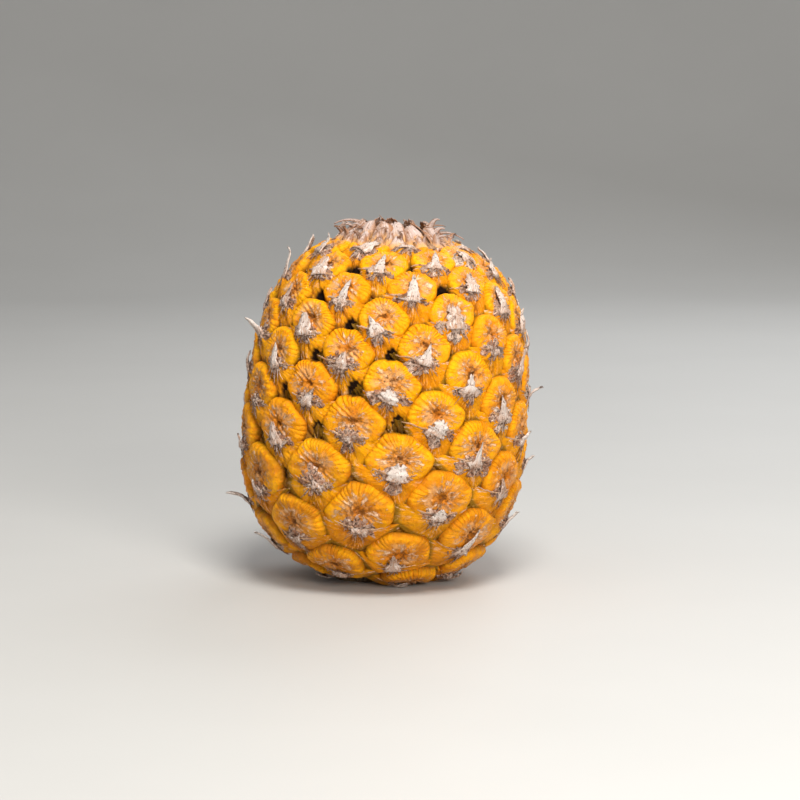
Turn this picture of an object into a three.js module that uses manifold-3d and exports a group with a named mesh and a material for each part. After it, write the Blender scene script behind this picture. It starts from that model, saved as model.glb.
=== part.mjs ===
// A whole ripe pineapple whose crown has been twisted off, standing on its base and leaning a little.
// The fruit is a barrel of fruitlets, or eyes, set on a golden-angle spiral. Each eye is a hexagonal cell with a
// domed upper part, a lower skirt that is its bract's fleshy base, and the bract's dry tip folded up over the dome.
// Units are millimetres, +Z is up, the front is -Y, and the origin is under the middle of the bounding box.
import * as THREE from "three";
import { ConvexHull } from "three/addons/math/ConvexHull.js";
import { mergeVertices } from "three/addons/utils/BufferGeometryUtils.js";
import Module from "manifold-3d";

const wasm = await Module();
wasm.setup();

// The barrel: a super-ellipse turned about the fruit's own axis, and how far that axis leans.
const BODY_RADIUS = 63.2;
const BODY_HALF_HEIGHT = 76.2;
const TOP_POWER = 2.6;
const BOTTOM_POWER = 2.64;
const WALL_POWER = 2.82;
const LEAN = THREE.MathUtils.degToRad(8.2);
// One shoulder grew flatter than the rest.
const FLAT_SHOULDER = { share: 0.08, bearing: Math.PI / 2, spread: 0.8, height: 43, reach: 48 };

// The spiral of eyes, counted down from the crown.
const GOLDEN_ANGLE = THREE.MathUtils.degToRad(137.51);
const EYE_COUNT = 121;
const MIDDLE_EYE = 62;
const MIDDLE_BEARING = THREE.MathUtils.degToRad(167.9);
const SPACING = { middle: 96.9, slope: 67.4, bend: 13.8, twist: 14.0, span: 50 };

// Relief of one eye, as heights over the barrel.
const GROOVE_DEPTH = 2.0;
const PIT_DEPTH = 3.4;
const DOME_HEIGHT = 2.3;
const NAVEL_HEIGHT = 0.3;
const SKIRT_HEIGHT = 0.7;
const KEEL_HEIGHT = 1.1;
const RINGS = [0.42, 0.8];

// The dry bract tips.
const TIP_LENGTH = 10.5;
const TIP_WIDTH = 4.4;
const TIP_THICKNESS = 1.1;
const TIP_ROOT_DEPTH = 2.6;
// Eyes whose tip stands away from the fruit: length, rise over the barrel and sideways sweep.
const PROUD_TIPS = new Map([
  [17, [9, 6, 0]],
  [21, [13, 8, 0]],
  [22, [8, 5.5, 0]],
  [26, [9, 6, 0]],
  [34, [15, 5.5, 0]],
  [43, [11, 5, 0]],
  [55, [11, 9, -2]],
  [64, [8, 7.5, 0]],
  [77, [9, 6, 0]],
  [85, [9, 6, 0]],
  [98, [9, 5.5, 0]],
  [102, [11, 9, 0]],
  [110, [13, 6, 0]],
]);

// The stub of the crown and the stub of the stalk, each set in a seat in the fruit.
const CROWN_RADIUS = 25.0;
const CROWN_SEAT_DEPTH = 3.6;
const COLLAR_RADIUS = 16;
const COLLAR_RISE = 3.2;
const SCAR_RADIUS = 12.5;
const SCAR_DIP = 1.2;
// The crown grew a little left of the fruit's axis: its tilt in degrees, then its offset. Its leaf bases lean left too,
// by this share of their height.
const CROWN_TILT = -4;
const CROWN_OFFSET = [-2.1, 0, -0.5];
const RIM_LEAN = 0.25;
const STALK_RADIUS = 14.5;
const STALK_SEAT_DEPTH = 5.0;
const GAP = 0.35;
const REST_TRIM = 2.0;

// A seeded random source, so that each build gives the same fruit.
function randomSource(seed) {
  let state = seed;
  return () => {
    state = (state + 0x6d2b79f5) | 0;
    let t = Math.imul(state ^ (state >>> 15), 1 | state);
    t = (t + Math.imul(t ^ (t >>> 7), 61 | t)) ^ t;
    return ((t ^ (t >>> 14)) >>> 0) / 4294967296;
  };
}

// The barrel's outline as radius and height against the distance along it from the top pole.
function barrelOutline(steps = 600) {
  const rows = [{ radius: 0, height: BODY_HALF_HEIGHT, arc: 0 }];
  for (let i = 1; i <= steps; i++) {
    const height = BODY_HALF_HEIGHT * Math.cos((Math.PI * i) / steps);
    const share = Math.abs(height) / BODY_HALF_HEIGHT;
    const power = height > 0 ? TOP_POWER : BOTTOM_POWER;
    const radius = BODY_RADIUS * Math.max(0, 1 - share ** power) ** (1 / WALL_POWER);
    const last = rows[i - 1];
    rows.push({ radius, height, arc: last.arc + Math.hypot(radius - last.radius, height - last.height) });
  }
  return rows;
}
const outline = barrelOutline();
const ARC = outline[outline.length - 1].arc;

function outlineAt(arc) {
  const wanted = THREE.MathUtils.clamp(arc, 0, ARC);
  let low = 0;
  let high = outline.length - 1;
  while (high - low > 1) {
    const middle = (low + high) >> 1;
    if (outline[middle].arc > wanted) high = middle;
    else low = middle;
  }
  const a = outline[low];
  const b = outline[high];
  const t = (wanted - a.arc) / (b.arc - a.arc);
  const along = { radius: (b.radius - a.radius) / (b.arc - a.arc), height: (b.height - a.height) / (b.arc - a.arc) };
  return {
    radius: THREE.MathUtils.lerp(a.radius, b.radius, t),
    height: THREE.MathUtils.lerp(a.height, b.height, t),
    out: -along.height,
    up: along.radius,
  };
}

// Bearing 0 faces the front and grows to the right. A place on the fruit is a direction on a unit globe.
function globe(bearing, arc) {
  const polar = (Math.PI * arc) / ARC;
  const ring = Math.sin(polar);
  return new THREE.Vector3(ring * Math.sin(bearing), -ring * Math.cos(bearing), Math.cos(polar));
}

function shoulder(bearing, height) {
  const turn = Math.atan2(Math.sin(bearing - FLAT_SHOULDER.bearing), Math.cos(bearing - FLAT_SHOULDER.bearing));
  const across = Math.exp(-((turn / FLAT_SHOULDER.spread) ** 2));
  const upright = Math.exp(-(((height - FLAT_SHOULDER.height) / FLAT_SHOULDER.reach) ** 2));
  return 1 - FLAT_SHOULDER.share * across * upright;
}

// The point of the fruit in one direction of the globe, raised by lift along the barrel's normal.
function skin(direction, lift) {
  const bearing = Math.atan2(direction.x, -direction.y);
  const arc = (ARC * Math.acos(THREE.MathUtils.clamp(direction.z / direction.length(), -1, 1))) / Math.PI;
  const at = outlineAt(arc);
  const radius = at.radius * shoulder(bearing, at.height) + at.out * lift;
  return new THREE.Vector3(radius * Math.sin(bearing), -radius * Math.cos(bearing), at.height + at.up * lift);
}

// The eyes: centre direction, and unit vectors to the right and up on the globe.
function eyeArc(index) {
  const k = (index - MIDDLE_EYE) / SPACING.span;
  return SPACING.middle + SPACING.slope * k + SPACING.bend * k ** 2 + SPACING.twist * k ** 3;
}

function makeEyes() {
  const eyes = [];
  const pole = new THREE.Vector3(0, 0, 1);
  for (let index = 0; index < EYE_COUNT; index++) {
    const centre = globe(MIDDLE_BEARING + (index - MIDDLE_EYE) * GOLDEN_ANGLE, eyeArc(index));
    const right = new THREE.Vector3().crossVectors(pole, centre).normalize();
    const up = new THREE.Vector3().crossVectors(centre, right);
    eyes.push({ index, centre, right, up, arc: eyeArc(index) });
  }
  return eyes;
}

// Cells: the hull of the eyes' centres on the globe joins each eye to its neighbours, and each triangle of the
// hull is one corner where three cells meet.
function makeCells(eyes) {
  const poles = [new THREE.Vector3(0, 0, 1), new THREE.Vector3(0, 0, -1)];
  const points = [...eyes.map((eye) => eye.centre), ...poles];
  const indexOf = new Map(points.map((point, i) => [point, i]));
  const cells = points.map((centre) => ({ centre, corners: [] }));
  new ConvexHull().setFromPoints(points).faces.forEach((face, id) => {
    const members = [0, 1, 2].map((i) => indexOf.get(face.getEdge(i).head().point));
    const place = members
      .reduce((sum, m) => sum.add(points[m]), new THREE.Vector3())
      .normalize();
    members.forEach((m) => cells[m].corners.push({ id, place }));
  });
  for (const cell of cells) {
    const side = Math.abs(cell.centre.z) > 0.999 ? new THREE.Vector3(1, 0, 0) : new THREE.Vector3(0, 0, 1);
    const right = new THREE.Vector3().crossVectors(side, cell.centre).normalize();
    const up = new THREE.Vector3().crossVectors(cell.centre, right);
    const turn = (corner) => Math.atan2(corner.place.dot(up), corner.place.dot(right));
    cell.corners.sort((a, b) => turn(a) - turn(b));
    Object.assign(cell, { right, up });
  }
  return cells;
}

// Height of an eye at a share of the way from its navel to its edge, in a direction counted from its right.
function relief(share, turn) {
  const dome = THREE.MathUtils.smoothstep(Math.sin(turn), -0.45, 0.05);
  const keel = Math.max(0, -Math.sin(turn)) ** 6;
  const skirt = SKIRT_HEIGHT + KEEL_HEIGHT * keel * (1 - share);
  const roll = THREE.MathUtils.lerp(NAVEL_HEIGHT, DOME_HEIGHT, THREE.MathUtils.smoothstep(share, 0.1, 0.75));
  return THREE.MathUtils.lerp(skirt, roll, dome);
}

// One closed skin: each cell is a fan and rings of triangles, and neighbours share the vertices of their edge.
function makeSkin(cells) {
  const random = randomSource(11);
  const places = [];
  const shared = new Map();
  const triangles = [];
  const vertex = (direction, lift) => places.push(skin(direction, lift)) - 1;
  const sharedVertex = (key, direction, depth) => {
    if (!shared.has(key)) shared.set(key, vertex(direction, -depth));
    return shared.get(key);
  };
  for (const cell of cells) {
    const rim = [];
    cell.corners.forEach((corner, i) => {
      const next = cell.corners[(i + 1) % cell.corners.length];
      const middle = corner.place.clone().add(next.place).normalize();
      const middleKey = [corner.id, next.id].sort((a, b) => a - b).join("-");
      rim.push({ place: corner.place, id: sharedVertex(corner.id, corner.place, PIT_DEPTH) });
      rim.push({ place: middle, id: sharedVertex(middleKey, middle, GROOVE_DEPTH) });
    });
    const wobble = 0.25 * (random() - 0.5);
    const navel = vertex(cell.centre, NAVEL_HEIGHT);
    const loops = RINGS.map((share) =>
      rim.map(({ place }) => {
        const turn = Math.atan2(place.dot(cell.up), place.dot(cell.right));
        const direction = cell.centre.clone().lerp(place, share).normalize();
        return vertex(direction, relief(share, turn) * (1 + wobble));
      }),
    );
    loops.push(rim.map(({ id }) => id));
    loops[0].forEach((id, i) => triangles.push(navel, id, loops[0][(i + 1) % rim.length]));
    for (let ring = 0; ring + 1 < loops.length; ring++) {
      loops[ring].forEach((a, i) => {
        const b = loops[ring][(i + 1) % rim.length];
        const outerA = loops[ring + 1][i];
        const outerB = loops[ring + 1][(i + 1) % rim.length];
        triangles.push(a, outerA, outerB, a, outerB, b);
      });
    }
  }
  return solidFrom(places, triangles);
}

// Solids and geometries.
function solidFrom(places, triangles) {
  const vertProperties = new Float32Array(places.flatMap((p) => [p.x, p.y, p.z]));
  return new wasm.Manifold(new wasm.Mesh({ numProp: 3, vertProperties, triVerts: new Uint32Array(triangles) }));
}

function solidOf(geometry) {
  const bare = geometry.clone();
  bare.deleteAttribute("normal");
  bare.deleteAttribute("uv");
  const merged = mergeVertices(bare, 1e-4);
  return new wasm.Manifold(
    new wasm.Mesh({
      numProp: 3,
      vertProperties: merged.attributes.position.array,
      triVerts: new Uint32Array(merged.index.array),
    }),
  );
}

function geometryOf(solid) {
  const bodies = solid.decompose().sort((a, b) => b.volume() - a.volume());
  const mesh = bodies[0].getMesh();
  const geometry = new THREE.BufferGeometry();
  geometry.setAttribute("position", new THREE.BufferAttribute(new Float32Array(mesh.vertProperties), 3));
  geometry.setIndex(new THREE.BufferAttribute(new Uint32Array(mesh.triVerts), 1));
  geometry.computeVertexNormals();
  return geometry;
}

// A dry blade, flat behind and ridged in front, along a line of points, tapering from its root to its end.
function blade(line, across, width, thickness, endShare = 0) {
  const sides = 3;
  const places = [];
  line.forEach((point, i) => {
    if (i === line.length - 1 && endShare === 0) {
      places.push(point);
      return;
    }
    const taper = THREE.MathUtils.lerp(1, endShare, (i / (line.length - 1)) ** 1.5);
    const along = line[Math.min(i + 1, line.length - 1)].clone().sub(line[Math.max(i - 1, 0)]).normalize();
    const ridge = new THREE.Vector3().crossVectors(across, along).setLength(thickness);
    const wide = new THREE.Vector3().crossVectors(along, ridge).setLength((width / 2) * taper);
    places.push(point.clone().add(wide), point.clone().add(ridge), point.clone().sub(wide));
  });
  const rings = Math.floor(places.length / sides);
  const triangles = [0, 1, 2];
  for (let ring = 0; ring + 1 < rings; ring++) {
    for (let i = 0; i < sides; i++) {
      const a = ring * sides + i;
      const b = ring * sides + ((i + 1) % sides);
      triangles.push(a, a + sides, b + sides, a, b + sides, b);
    }
  }
  const top = (rings - 1) * sides;
  if (endShare > 0) triangles.push(top, top + 2, top + 1);
  else for (let i = 0; i < sides; i++) triangles.push(top + i, rings * sides, top + ((i + 1) % sides));
  const solid = solidFrom(places, triangles);
  if (solid.volume() > 0) return solid;
  const turned = triangles.map((_, i) => triangles[i - (i % 3) + [0, 2, 1][i % 3]]);
  return solidFrom(places, turned);
}

// A point beside an eye's navel: millimetres to the right and up over the surface, and lift above the barrel.
function besideEye(eye, right, up, lift) {
  const scale = Math.PI / ARC;
  const direction = eye.centre.clone().addScaledVector(eye.right, right * scale).addScaledVector(eye.up, up * scale);
  return skin(direction, lift);
}

function makeTips(eyes) {
  const random = randomSource(29);
  const crownX = BODY_HALF_HEIGHT * Math.sin(THREE.MathUtils.degToRad(CROWN_TILT)) + CROWN_OFFSET[0];
  const tips = [];
  for (const eye of eyes) {
    const vary = [random(), random(), random(), random()];
    const place = skin(eye.centre, 0);
    const underCrown = place.z > 0 && Math.hypot(place.x - crownX, place.y) < CROWN_RADIUS + 8;
    const underStalk = eye.arc > ARC - STALK_RADIUS - 14;
    if (underCrown || underStalk) continue;
    const proud = PROUD_TIPS.get(eye.index);
    const length = proud ? proud[0] : TIP_LENGTH * (0.7 + 0.6 * vary[0]);
    const rise = proud ? proud[1] : 3.7 + 1.8 * vary[1] ** 2;
    const sweep = proud ? proud[2] : 4 * (vary[2] - 0.5);
    const width = proud ? TIP_WIDTH * 0.75 : TIP_WIDTH * (0.8 + 0.5 * vary[3]);
    const line = [
      besideEye(eye, 0, -2.5, -TIP_ROOT_DEPTH),
      besideEye(eye, 0.3 * sweep, 0.35 * length - 1.5, 2.6),
      besideEye(eye, sweep, 0.9 * length - 1.5, rise),
    ];
    const across = line[2].clone().sub(line[0]).cross(skin(eye.centre, 1).sub(skin(eye.centre, 0)));
    tips.push(blade(line, across.normalize(), width, TIP_THICKNESS));
  }
  return tips;
}

function lathe(profile, segments) {
  const points = profile.map(([radius, height]) => new THREE.Vector2(radius, height));
  const geometry = new THREE.LatheGeometry(points, segments);
  geometry.rotateX(Math.PI / 2);
  return solidOf(geometry);
}

// The crown's stub: a fibrous scar in a low cone of torn, papery leaf bases, a few of them bent outwards.
function crownPlug(grow) {
  const top = BODY_HALF_HEIGHT;
  return [
    [0, top - CROWN_SEAT_DEPTH - grow],
    [CROWN_RADIUS + grow, top - CROWN_SEAT_DEPTH - grow],
  ];
}

function atCrown(solid) {
  return solid.rotate([0, CROWN_TILT, 0]).translate(CROWN_OFFSET);
}

function makeCrownStub() {
  const top = BODY_HALF_HEIGHT;
  const profile = [
    ...crownPlug(0),
    [CROWN_RADIUS - 0.4, top - 0.6],
    [COLLAR_RADIUS, top + COLLAR_RISE],
    [SCAR_RADIUS, top + COLLAR_RISE],
    [SCAR_RADIUS - 2, top + COLLAR_RISE - SCAR_DIP],
    [0, top + COLLAR_RISE - 0.5 * SCAR_DIP],
  ];
  const parts = [lathe(profile, 32)];
  const random = randomSource(53);
  const rows = [
    { count: 18, root: 22.0, reach: [-6, -3.5], rise: [4.5, 7], width: [7, 9], height: -1.5, torn: 0.6 },
    { count: 13, root: 18.0, reach: [-4, -2], rise: [6.5, 8.5], width: [6, 8.5], height: 1.0, torn: 0.7 },
    { count: 9, root: 21.0, reach: [-1, 4.5], rise: [4, 7.5], width: [4, 6], height: 0.5, torn: 0.2 },
  ];
  rows.forEach((row, level) => {
    for (let i = 0; i < row.count; i++) {
      const bearing = ((i + 0.5 * level + 0.5 * (random() - 0.5)) / row.count) * 2 * Math.PI;
      const pick = (range) => THREE.MathUtils.lerp(range[0], range[1], random());
      const outward = new THREE.Vector3(Math.sin(bearing), -Math.cos(bearing), 0);
      const across = new THREE.Vector3(-Math.cos(bearing), -Math.sin(bearing), 0);
      const reach = pick(row.reach);
      const rise = pick(row.rise);
      const drift = 3 * (random() - 0.5);
      const at = (out, up, side) =>
        new THREE.Vector3(-RIM_LEAN * Math.max(0, up), 0, top + up)
          .addScaledVector(outward, out)
          .addScaledVector(across, side);
      const line = [
        at(row.root - 1, row.height - 1.5, 0),
        at(row.root + 0.6 + 0.3 * reach, 0.55 * rise, 0.3 * drift),
        at(row.root + reach, rise, drift),
      ];
      const torn = random() < row.torn ? 0.55 : 0;
      parts.push(blade(line, across, pick(row.width), TIP_THICKNESS, torn));
    }
  });
  return atCrown(parts.reduce((whole, part) => whole.add(part)));
}

// The stalk's stub: a short ribbed cylinder of tough fibres, cut off level with what the fruit stands on.
function makeStalkStub() {
  const shape = new THREE.Shape();
  const ribs = 28;
  for (let i = 0; i < 2 * ribs; i++) {
    const bearing = (Math.PI * i) / ribs;
    const radius = STALK_RADIUS - (i % 2) * 0.7;
    const point = [radius * Math.cos(bearing), radius * Math.sin(bearing)];
    if (i) shape.lineTo(...point);
    else shape.moveTo(...point);
  }
  shape.closePath();
  const geometry = new THREE.ExtrudeGeometry(shape, { depth: 2 * STALK_SEAT_DEPTH, bevelEnabled: false, steps: 1 });
  geometry.translate(0, 0, -BODY_HALF_HEIGHT - STALK_SEAT_DEPTH);
  return solidOf(geometry);
}

// Everything below the level that trims the lowest bumps to small flats, in the leaning fruit's own frame.
function groundUnder(geometry) {
  const leaned = geometry.clone().rotateY(LEAN);
  leaned.computeBoundingBox();
  const level = leaned.boundingBox.min.z + REST_TRIM;
  const box = new THREE.BoxGeometry(300, 300, 60).translate(0, 0, level - 30).rotateY(-LEAN);
  return { level, solid: solidOf(box) };
}

const eyes = makeEyes();
const skinSolid = makeSkin(makeCells(eyes));
const ground = groundUnder(geometryOf(skinSolid));

const crownSeat = atCrown(
  lathe([...crownPlug(GAP), [CROWN_RADIUS + GAP, BODY_HALF_HEIGHT + 20], [0, BODY_HALF_HEIGHT + 20]], 32),
);
const stalkSeat = lathe(
  [
    [0, -BODY_HALF_HEIGHT - 20],
    [STALK_RADIUS + GAP, -BODY_HALF_HEIGHT - 20],
    [STALK_RADIUS + GAP, -BODY_HALF_HEIGHT + STALK_SEAT_DEPTH + GAP],
    [0, -BODY_HALF_HEIGHT + STALK_SEAT_DEPTH + GAP],
  ],
  32,
);
const fruitSolid = makeTips(eyes)
  .reduce((whole, tip) => whole.add(tip), skinSolid)
  .subtract(crownSeat)
  .subtract(stalkSeat)
  .subtract(ground.solid);

function sub(name, solid, color, roughness) {
  const material = new THREE.MeshStandardMaterial({ color, roughness, metalness: 0 });
  const mesh = new THREE.Mesh(geometryOf(solid), material);
  mesh.name = name;
  return mesh;
}

const leaning = new THREE.Group();
leaning.rotation.y = LEAN;
leaning.position.z = -ground.level;
leaning.add(
  sub("fruit", fruitSolid, 0xf0a21c, 0.5),
  sub("crown_stub", makeCrownStub(), 0xd9bfa4, 0.85),
  sub("stalk_stub", makeStalkStub().subtract(ground.solid), 0x8d6b45, 0.9),
);

const pineapple = new THREE.Group();
pineapple.add(leaning);
const box = new THREE.Box3().setFromObject(pineapple, true);
leaning.position.x -= (box.min.x + box.max.x) / 2;
leaning.position.y -= (box.min.y + box.max.y) / 2;

export default pineapple;
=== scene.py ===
import math

import bpy
import numpy as np
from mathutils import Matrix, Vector


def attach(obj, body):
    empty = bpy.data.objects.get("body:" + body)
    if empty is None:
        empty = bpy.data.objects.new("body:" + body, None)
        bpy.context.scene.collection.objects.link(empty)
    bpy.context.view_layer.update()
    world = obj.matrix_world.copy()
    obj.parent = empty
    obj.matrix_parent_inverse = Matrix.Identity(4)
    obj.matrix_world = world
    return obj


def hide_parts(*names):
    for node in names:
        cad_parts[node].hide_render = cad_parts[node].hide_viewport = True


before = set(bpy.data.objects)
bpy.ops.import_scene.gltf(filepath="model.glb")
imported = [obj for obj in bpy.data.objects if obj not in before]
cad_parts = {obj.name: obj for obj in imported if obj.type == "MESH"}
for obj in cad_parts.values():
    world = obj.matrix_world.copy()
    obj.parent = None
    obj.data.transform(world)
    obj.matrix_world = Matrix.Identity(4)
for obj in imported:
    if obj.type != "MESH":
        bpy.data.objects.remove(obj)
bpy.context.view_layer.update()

# ---- Where the fruit stands and how it is seen -----------------------------------------------------------------------
# The fruit stands on a pale table in soft daylight. It is photographed from its own height and a little above, from
# over a metre away, so that the sides are nearly parallel.
VIEW_DISTANCE = 1.3
VIEW_RISE = math.radians(8.0)
VIEW_AIM = Vector((0.0070, 0.0, 0.0806))
VIEW_WIDTH = 0.360

camera = bpy.data.objects.new("camera", bpy.data.cameras.new("camera"))
bpy.context.collection.objects.link(camera)
camera.data.lens = camera.data.sensor_width * VIEW_DISTANCE / VIEW_WIDTH
backwards = Vector((0, -math.cos(VIEW_RISE), math.sin(VIEW_RISE)))
camera.location = VIEW_AIM + backwards * VIEW_DISTANCE
camera.rotation_euler = backwards.to_track_quat("Z", "Y").to_euler()
bpy.context.scene.camera = camera
bpy.context.scene.view_settings.view_transform = "Standard"


def soft_lamp(name, place, size, watts, tint):
    """A square lamp of that size, aimed at the middle of the fruit."""
    lamp = bpy.data.objects.new(name, bpy.data.lights.new(name, "AREA"))
    bpy.context.collection.objects.link(lamp)
    lamp.data.size = size
    lamp.data.energy = watts
    lamp.data.color = tint
    lamp.location = place
    lamp.rotation_euler = (Vector(place) - VIEW_AIM).to_track_quat("Z", "Y").to_euler()


soft_lamp("sky_lamp", (0.12, -0.62, 1.15), 0.45, 16.0, (1.0, 0.975, 0.93))
soft_lamp("front_lamp", (0.50, -1.20, 0.50), 0.40, 10.5, (1.0, 0.955, 0.89))
soft_lamp("back_lamp", (0.5, 0.9, 0.8), 0.8, 6.0, (0.93, 0.96, 1.0))
world = bpy.data.worlds.new("daylight")
world.use_nodes = True
world.node_tree.nodes["Background"].inputs["Color"].default_value = (0.88, 0.88, 0.88, 1)
world.node_tree.nodes["Background"].inputs["Strength"].default_value = 0.42
bpy.context.scene.world = world

# ---- The form of the fruit -------------------------------------------------------------------------------------------
# A pineapple is a stalk of fruitlets grown into one another, each under its own leaf, the bract. They sit on a spiral
# that turns by the golden angle, round a barrel that is fuller below than above. All lengths here are millimetres.
BODY_RADIUS, BODY_HALF_HEIGHT = 63.2, 76.2
TOP_POWER, BOTTOM_POWER, WALL_POWER = 2.6, 2.64, 2.82
LEAN = math.radians(8.2)
STANDING_PLACE = np.array([2.2808, 0.2934, 77.0861])
GOLDEN_ANGLE, EYE_COUNT, MIDDLE_EYE = math.radians(137.51), 121, 62
CROWN_RADIUS, STALK_RADIUS = 25.0, 14.5
CROWN_TILT, CROWN_OFFSET = math.radians(-4), np.array([-2.1, 0, -0.5])

outline_z = BODY_HALF_HEIGHT * np.cos(np.linspace(0, np.pi, 601))
outline_power = np.where(outline_z > 0, TOP_POWER, BOTTOM_POWER)
outline_r = np.maximum(0, 1 - (np.abs(outline_z) / BODY_HALF_HEIGHT) ** outline_power) ** (1 / WALL_POWER) * BODY_RADIUS
outline_arc = np.concatenate([[0], np.cumsum(np.hypot(np.diff(outline_r), np.diff(outline_z)))])
outline_polar = np.arctan2(outline_r, outline_z)
outline_out = -np.gradient(outline_z, outline_arc)
outline_up = np.gradient(outline_r, outline_arc)


def flat_shoulder(bearing, height):
    """One less than a bump that is a bell curve in bearing and in height: the shoulder that grew flatter."""
    turn = np.arctan2(np.sin(bearing - np.pi / 2), np.cos(bearing - np.pi / 2))
    return 1 - 0.08 * np.exp(-((turn / 0.8) ** 2)) * np.exp(-(((height - 43) / 48) ** 2))


def on_fruit(towards, lift):
    """The point where a line from the fruit's middle meets the barrel, moved out along the barrel's normal by lift."""
    bearing = np.arctan2(towards[..., 0], -towards[..., 1])
    polar = np.arctan2(np.hypot(towards[..., 0], towards[..., 1]), towards[..., 2])
    out, up = np.interp(polar, outline_polar, outline_out), np.interp(polar, outline_polar, outline_up)
    size = np.hypot(out, up)
    height = np.interp(polar, outline_polar, outline_z)
    radius = np.interp(polar, outline_polar, outline_r) * flat_shoulder(bearing, height) + lift * out / size
    return np.stack([radius * np.sin(bearing), -radius * np.cos(bearing), height + lift * up / size], -1)


def in_row_frame(places):
    """Fruit millimetres to the row's metres: lean over to the right, then stand on the table."""
    x, y, z = places[..., 0], places[..., 1], places[..., 2]
    leaning = np.stack([x * np.cos(LEAN) + z * np.sin(LEAN), y, z * np.cos(LEAN) - x * np.sin(LEAN)], -1)
    return (leaning + STANDING_PLACE) * 0.001


eye_number = np.arange(EYE_COUNT)
steps = (eye_number - MIDDLE_EYE) / 50
eye_arc = 96.9 + 67.4 * steps + 13.8 * steps**2 + 14.0 * steps**3
eye_bearing = math.radians(167.9) + (eye_number - MIDDLE_EYE) * GOLDEN_ANGLE
eye_polar = np.interp(eye_arc, outline_arc, outline_polar)
eye_towards = np.stack([
    np.sin(eye_polar) * np.sin(eye_bearing), -np.sin(eye_polar) * np.cos(eye_bearing), np.cos(eye_polar)
], -1)
eye_place = on_fruit(eye_towards, np.zeros(EYE_COUNT))
eye_towards = eye_place / np.linalg.norm(eye_place, axis=1, keepdims=True)
eye_out = np.interp(eye_arc, outline_arc, outline_out)
eye_rise = np.interp(eye_arc, outline_arc, outline_up)
eye_right = np.stack([np.cos(eye_bearing), np.sin(eye_bearing), 0 * eye_bearing], -1)
eye_normal = np.stack([eye_out * np.sin(eye_bearing), -eye_out * np.cos(eye_bearing), eye_rise], -1)
eye_up = np.cross(eye_normal, eye_right)
chance = np.random.default_rng(7)
eye_chance = chance.random((EYE_COUNT, 12))
crown_x = BODY_HALF_HEIGHT * math.sin(CROWN_TILT) + CROWN_OFFSET[0]
from_crown = np.hypot(eye_place[:, 0] - crown_x, eye_place[:, 1])
open_eyes = [
    i for i in range(EYE_COUNT)
    if (eye_place[i, 2] < 0 or from_crown[i] > CROWN_RADIUS - 8) and eye_arc[i] < outline_arc[-1] - STALK_RADIUS + 2
]


def on_plane(i, right, up):
    """The point of eye i's tangent plane that many millimetres right of and above its middle."""
    return eye_place[i] + np.multiply.outer(right, eye_right[i]) + np.multiply.outer(up, eye_up[i])


def beside(i, right, up, lift):
    """The point that many millimetres right of and above eye i's middle on its tangent plane, brought onto the fruit.
    Within 4 mm of the crown's or the stalk's seat the lift shrinks, so that the eyes tuck in under them."""
    plane = on_plane(i, right, up)
    above = plane[..., 2] > 0
    seat = np.where(above, CROWN_RADIUS - 2, STALK_RADIUS)
    free = np.clip((np.hypot(plane[..., 0] - np.where(above, crown_x, 0), plane[..., 1]) - seat) / 4, 0, 1)
    return on_fruit(plane, lift * free - 2.5 * (1 - free))


def cell_reach(i, right, up, turn):
    """How far eye i's cell runs from a point of it in each direction: to the nearest plane halfway to a neighbour."""
    gaps = eye_towards[i] - np.delete(eye_towards, i, axis=0)
    start = eye_place[i] + right * eye_right[i] + up * eye_up[i]
    heading = np.multiply.outer(np.cos(turn), eye_right[i]) + np.multiply.outer(np.sin(turn), eye_up[i])
    closing = -heading @ gaps.T
    with np.errstate(divide="ignore"):
        reach = np.where(closing > 1e-6, (gaps @ start) / closing, 1e9)
    return reach.min(axis=1)


# Each cell's half width and half height are those of the diamond with the same second moments.
all_round = np.linspace(0, 2 * np.pi, 96, endpoint=False)
cell_outline = np.minimum([cell_reach(i, 0.0, 0.0, all_round) for i in range(EYE_COUNT)], 26.0)
cell_wide, cell_tall = (
    np.sqrt(3 * (cell_outline**4 * wave**2).sum(axis=1) / (cell_outline**2).sum(axis=1))
    for wave in (np.cos(all_round), np.sin(all_round))
)


def make_mesh(name, places, quads, triangles, looks):
    """A mesh object of these faces, smooth, with one float attribute for each array in looks. What would go below the
    table is pressed flat on it."""
    standing = in_row_frame(places)
    standing[:, 2] = np.maximum(standing[:, 2], 0)
    mesh = bpy.data.meshes.new(name)
    corners = np.concatenate([quads.ravel(), triangles.ravel()]).astype(np.int32)
    starts = np.concatenate([np.arange(len(quads)) * 4, len(quads) * 4 + np.arange(len(triangles)) * 3])
    mesh.vertices.add(len(places))
    mesh.vertices.foreach_set("co", standing.astype(np.float32).ravel())
    mesh.loops.add(len(corners))
    mesh.loops.foreach_set("vertex_index", corners)
    mesh.polygons.add(len(starts))
    mesh.polygons.foreach_set("loop_start", starts.astype(np.int32))
    mesh.update(calc_edges=True)
    mesh.validate()
    mesh.polygons.foreach_set("use_smooth", np.ones(len(mesh.polygons), dtype=bool))
    for look, values in looks.items():
        mesh.attributes.new(look, "FLOAT", "POINT").data.foreach_set("value", values.astype(np.float32).ravel())
    made = bpy.data.objects.new(name, mesh)
    bpy.context.collection.objects.link(made)
    return made


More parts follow.
